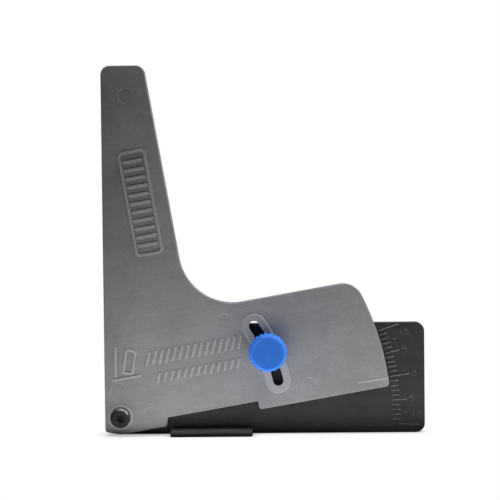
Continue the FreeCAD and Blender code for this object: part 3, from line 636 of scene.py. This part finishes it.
def make_clamp_knob():
    """Fluted thumb knob: soft flutes round the rim that run out over a bevel, and a shallow dished face."""
    low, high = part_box("clamp_knob")
    radius = (high.z - low.z) / 2
    face = low.y
    hub_back = high.y
    head_back = hub_back - KNOB_HUB_HEIGHT
    stud = STUD_SHANK / 2 + STUD_BORE_FIT

    def fluted(reach, share):
        def ring(angle):
            wave = abs(math.sin(KNOB_FLUTES * angle / 2))
            return reach - KNOB_FLUTE_DEPTH * share * (1 - wave ** 0.8)
        return ring

    dish = face + KNOB_DISH_DEPTH
    rings = [(dish, round_ring(AXIS_RADIUS))]
    inner = [(dish, 0.8 * MM, 0), (dish, KNOB_DISH_RADIUS - 0.02 * MM, 0.12 * MM),
             (face, KNOB_DISH_RADIUS + 0.10 * MM, 0.05 * MM), (face, KNOB_DISH_RADIUS + 0.20 * MM, 0)]
    rings += round_rings(inner)
    bevel = [(face, KNOB_DISH_RADIUS + 0.20 * MM, 0), (face + 0.02 * MM, KNOB_DISH_RADIUS + 0.35 * MM, 0.12 * MM),
             (face + 0.70 * MM, radius - 0.35 * MM, 0.40 * MM), (face + 1.35 * MM, radius, 0.35 * MM),
             (head_back - 0.5 * MM, radius, 0.3 * MM), (head_back, radius - 0.6 * MM, 0.2 * MM),
             (head_back, radius - 1.0 * MM, 0)]
    for point in rounded(bevel)[1:]:
        share = min(1.0, max(0.0, (point.y - (radius - 1.0 * MM)) / (0.9 * MM)))
        rings.append((point.x, fluted(point.y, share)))
    hub = [(head_back, radius - 1.1 * MM, 0), (head_back, KNOB_HUB_RADIUS, 0.2 * MM),
           (hub_back, KNOB_HUB_RADIUS, 0.25 * MM), (hub_back, stud + 0.4 * MM, 0), (hub_back - 0.3 * MM, stud, 0)]
    rings += round_rings(hub)
    pocket = STUD_HEAD_FLATS + 0.04 * MM
    pocket_front = head_back - STUD_HEAD_THICK - 0.02 * MM
    rings += [(head_back, round_ring(stud)), (head_back, hexagon_ring(pocket, pocket)),
              (pocket_front, hexagon_ring(pocket, pocket)), (pocket_front, round_ring(AXIS_RADIUS))]
    turned_piece("clamp_knob_moulded", "clamp_knob", CLAMP, rings, sharp=40)
    make_knob_mark(dish)


def make_knob_mark(floor):
    """Two raised lines across the knob's face with a row of short ribs between them, each a rounded bar."""
    half = KNOB_MARK_LENGTH / 2
    strokes = [(-half, level, half, level) for level in (-KNOB_MARK_GAP / 2, KNOB_MARK_GAP / 2)]
    pitch = KNOB_MARK_LENGTH / (KNOB_MARK_RIBS + 1)
    for i in range(KNOB_MARK_RIBS):
        shift = (i + 1) * pitch - half
        strokes.append((shift, -KNOB_MARK_RIB_HEIGHT / 2, shift, KNOB_MARK_RIB_HEIGHT / 2))
    vertices = []
    faces = []
    levels = ((floor + 0.1 * MM, 1.0), (floor - KNOB_MARK_RAISE * 0.5, 1.0), (floor - KNOB_MARK_RAISE, 0.65))
    for left, low, right, high in strokes:
        first = len(vertices)
        lean = math.atan2(high - low, right - left)
        for y, share in levels:
            for i in range(MARK_POINTS):
                turn = lean - math.pi / 2 + 2 * math.pi * (i + 0.5) / MARK_POINTS
                end = (right, high) if i < MARK_POINTS / 2 else (left, low)
                u = end[0] + KNOB_MARK_STROKE / 2 * share * math.cos(turn)
                v = end[1] + KNOB_MARK_STROKE / 2 * share * math.sin(turn)
                vertices.append((CLAMP.x + u * math.cos(KNOB_MARK_TURN) - v * math.sin(KNOB_MARK_TURN), y,
                                 CLAMP.z + u * math.sin(KNOB_MARK_TURN) + v * math.cos(KNOB_MARK_TURN)))
        for level in range(len(levels) - 1):
            here = first + level * MARK_POINTS
            after = here + MARK_POINTS
            for i in range(MARK_POINTS):
                j = (i + 1) % MARK_POINTS
                faces.append((here + i, here + j, after + j, after + i))
        faces.append(tuple(first + i for i in reversed(range(MARK_POINTS))))
        top = first + (len(levels) - 1) * MARK_POINTS
        faces.append(tuple(range(top, top + MARK_POINTS)))
    own_mesh("clamp_knob_mark", "clamp_knob", vertices, faces, 40)


def make_pivot_locknut():
    """Locknut: hexagon with turned-down corners, and the round collar turned in over the nylon ring."""
    low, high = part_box("pivot_locknut")
    front, end = low.y, high.y
    back = front + PIVOT_NUT_STEEL
    flats = high.z - low.z
    rings = nut_rings(front, back, flats, SCREW_SHANK / 2 + 0.03 * MM, SCREW_PITCH)
    mouth = rings.index(next(ring for ring in rings if ring[0] == back and ring[1](0) < flats / 2))
    seat = COLLAR_RADIUS - COLLAR_WALL
    collar = [(back, COLLAR_RADIUS + 0.15 * MM, 0), (back + 0.1 * MM, COLLAR_RADIUS, 0.05 * MM),
              (end, COLLAR_RADIUS, 0.45 * MM), (end, COLLAR_MOUTH, 0.08 * MM),
              (end - COLLAR_LIP, COLLAR_MOUTH, 0), (end - COLLAR_LIP, seat, 0), (back, seat, 0)]
    rings[mouth + 1:mouth + 1] = round_rings(collar)
    turned_piece("pivot_locknut_threaded", "pivot_locknut", PIVOT, rings, hollow=True)


# ---- studio: a white floor that glows softly round the gauge, with soft lights above and a rim light ---------

FLOOR_SIDE = 8.0
CONTACT_REACH = 9 * MM           # how far the soft contact shadow spreads
CONTACT_SHADE = 0.45
FLOOR_BOUNCE = (0.2, 0.2, 0.2, 1)
SKY_BRIGHTNESS = 0.05
GAUGE_MIDDLE = Vector((0, 0, 0.03))
COOL = (0.90, 0.94, 1.0)
LIGHT_HEIGHT = 0.42
GLOW_HEIGHT = 0.001              # the floor's glow comes from strips just above it
GLOW_LENGTH = 0.28
GLOW_WIDTH = 0.09
DOWN = Vector((0, 0, -1))
UP = Vector((0, 0, 1))


def make_floor():
    """White wherever the camera sees it, with a contact shadow; a dull board to all other light."""
    half = FLOOR_SIDE / 2
    mesh = bpy.data.meshes.new("floor")
    mesh.from_pydata([(-half, -half, 0), (half, -half, 0), (half, half, 0), (-half, half, 0)], [], [(0, 1, 2, 3)])
    floor = bpy.data.objects.new("floor", mesh)
    bpy.context.scene.collection.objects.link(floor)
    shader = Shader("floor")
    shader.set(Base_Color=FLOOR_BOUNCE, Roughness=0.7)
    contact = shader.node("ShaderNodeAmbientOcclusion", {"Distance": CONTACT_REACH}, samples=8).outputs["AO"]
    shade = shader.spread(contact, 0.25, 0.85, CONTACT_SHADE, 1.0)
    plain = shader.node("ShaderNodeEmission", {"Color": shader.scaled((1, 1, 1), shade), "Strength": 1.0})
    seen = shader.node("ShaderNodeLightPath").outputs["Is Camera Ray"]
    both = shader.node("ShaderNodeMixShader", {0: seen})
    shader.tree.links.new(shader.surface.outputs[0], both.inputs[1])
    shader.tree.links.new(plain.outputs[0], both.inputs[2])
    shader.tree.links.new(both.outputs[0], shader.tree.nodes["Material Output"].inputs["Surface"])
    mesh.materials.append(shader.material)


def make_light(name, place, facing, width, depth, power, spread=180, mirrored=True, colour=(1, 1, 1)):
    """A rectangular lamp, which the camera doesn't see and gloss mirrors only if asked to."""
    data = bpy.data.lights.new(name, "AREA")
    data.shape = "RECTANGLE"
    data.size = width
    data.size_y = depth
    data.energy = power
    data.color = colour
    data.spread = math.radians(spread)
    light = bpy.data.objects.new(name, data)
    light.matrix_world = Matrix.Translation(place) @ facing.to_track_quat("-Z", "Y").to_matrix().to_4x4()
    light.visible_camera = False
    light.visible_glossy = mirrored
    bpy.context.scene.collection.objects.link(light)


def make_lights():
    softbox = Vector((0.0, -0.07, LIGHT_HEIGHT))
    make_light("softbox", softbox, DOWN, 0.22, 0.22, 0.04, spread=60, colour=COOL)
    strip = Vector((-0.01, -0.018, LIGHT_HEIGHT))
    make_light("top_strip", strip, DOWN, 0.26, 0.02, 0.9, colour=COOL)
    key = Vector((0.34, -0.24, 0.28))
    make_light("key_light", key, GAUGE_MIDDLE - key, 0.08, 0.08, 0.03, spread=120, colour=COOL)
    rim = Vector((0.42, -0.022, LIGHT_HEIGHT))
    make_light("rim_light", rim, GAUGE_MIDDLE - rim, 0.08, 0.03, 2.0, colour=COOL)
    front = Vector((0.004, -0.0528, GLOW_HEIGHT))
    make_light("front_glow", front, UP, GLOW_LENGTH, GLOW_WIDTH, 0.165, mirrored=False)
    back = Vector((0.0, 0.052, GLOW_HEIGHT))
    make_light("back_glow", back, UP, GLOW_LENGTH, GLOW_WIDTH, 0.145, mirrored=False)


def make_world():
    """White to the camera, dim to everything else."""
    world = bpy.data.worlds.new("studio")
    world.use_nodes = True
    bpy.context.scene.world = world
    tree = world.node_tree
    dim = tree.nodes["Background"]
    dim.inputs["Color"].default_value = (1, 1, 1, 1)
    dim.inputs["Strength"].default_value = SKY_BRIGHTNESS
    white = tree.nodes.new("ShaderNodeBackground")
    white.inputs["Color"].default_value = (1, 1, 1, 1)
    white.inputs["Strength"].default_value = 1.0
    path = tree.nodes.new("ShaderNodeLightPath")
    both = tree.nodes.new("ShaderNodeMixShader")
    tree.links.new(path.outputs["Is Camera Ray"], both.inputs[0])
    tree.links.new(dim.outputs[0], both.inputs[1])
    tree.links.new(white.outputs[0], both.inputs[2])
    tree.links.new(both.outputs[0], tree.nodes["World Output"].inputs["Surface"])


make_camera()
make_floor()
make_world()
make_lights()
bpy.context.scene.view_settings.view_transform = "Standard"

make_pivot_screw()
make_pivot_locknut()
make_clamp_stud()
make_washer()
make_clamp_nut()
make_clamp_knob()
for name, slot in SLOT_OF.items():
    for i in range(len(NODES[name].data.materials)):
        NODES[name].data.materials[i] = MATERIALS[slot]
